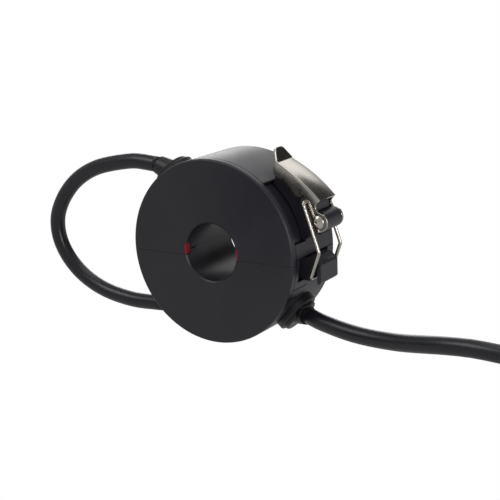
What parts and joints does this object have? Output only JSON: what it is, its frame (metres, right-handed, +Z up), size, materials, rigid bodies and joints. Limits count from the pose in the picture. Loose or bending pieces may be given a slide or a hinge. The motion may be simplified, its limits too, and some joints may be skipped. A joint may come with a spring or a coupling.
{
  "type": "current transformer",
  "caption": "Round waterproof split-core current transformer with a conductor window, stainless draw latch, link cable loop and moulded output lead.",
  "frame": {"origin": "middle of the conductor window, half way along it", "axes": "Y along the conductor with the front face at -Y, +Z up with the joint between the halves at z = 0, +X towards the latch"},
  "size_m": [0.3599, 0.0615, 0.078],
  "materials": {
    "moulded_case": "satin, fine spark-eroded texture",
    "core_iron": "cut and lapped core strip",
    "winding_tape": "varnished winding under polyester tape",
    "potting_resin": "cast epoxy",
    "seal_silicone": "matt silicone",
    "stainless": "bright stainless, tumbled",
    "gland_rubber": "satin",
    "cable_sheath": "smooth satin sheath",
    "tie_nylon": "nylon",
    "core_insulation": "core insulation"
  },
  "bodies": {
    "lower_half": {"lower_shell": "moulded_case", "lower_cover": "moulded_case", "lower_core": "core_iron", "lower_winding": "winding_tape", "lower_potting": "potting_resin", "left_seal": "seal_silicone", "right_seal": "seal_silicone", "hinge_pin": "stainless", "lower_gland": "gland_rubber", "lead_gland": "gland_rubber", "link_cable": "cable_sheath", "output_lead": "cable_sheath", "lead_coil": "cable_sheath", "lead_tail": "cable_sheath", "coil_tie": "tie_nylon", "lead_cores": "core_insulation"},
    "upper_half": {"upper_shell": "moulded_case", "upper_cover": "moulded_case", "upper_core": "core_iron", "upper_winding": "winding_tape", "upper_potting": "potting_resin", "upper_gland": "gland_rubber", "latch_pin": "stainless"},
    "lever": {"latch_lever": "stainless"},
    "bail": {"latch_bail": "stainless"}
  },
  "joints": [
    {"name": "lid_hinge", "type": "hinge", "parent": "lower_half", "child": "upper_half", "pos_m": [-0.0395, 0, 0], "axis": [0, -1, 0], "range_deg": [0, 90], "deforming": ["link_cable"]},
    {"name": "lever_pivot", "type": "hinge", "parent": "upper_half", "child": "lever", "pos_m": [0.0439, 0, 0.0141], "axis": [0, 1, 0], "range_deg": [0, 120]},
    {"name": "bail_pivot", "type": "hinge", "parent": "lever", "child": "bail", "pos_m": [0.0386, 0, 0.0218], "axis": [0, -1, 0], "range_deg": [0, 87.6]}
  ],
  "couplings": [
    {"joint": "bail_pivot", "follows": "lever_pivot", "ratio": 0.73}
  ]
}
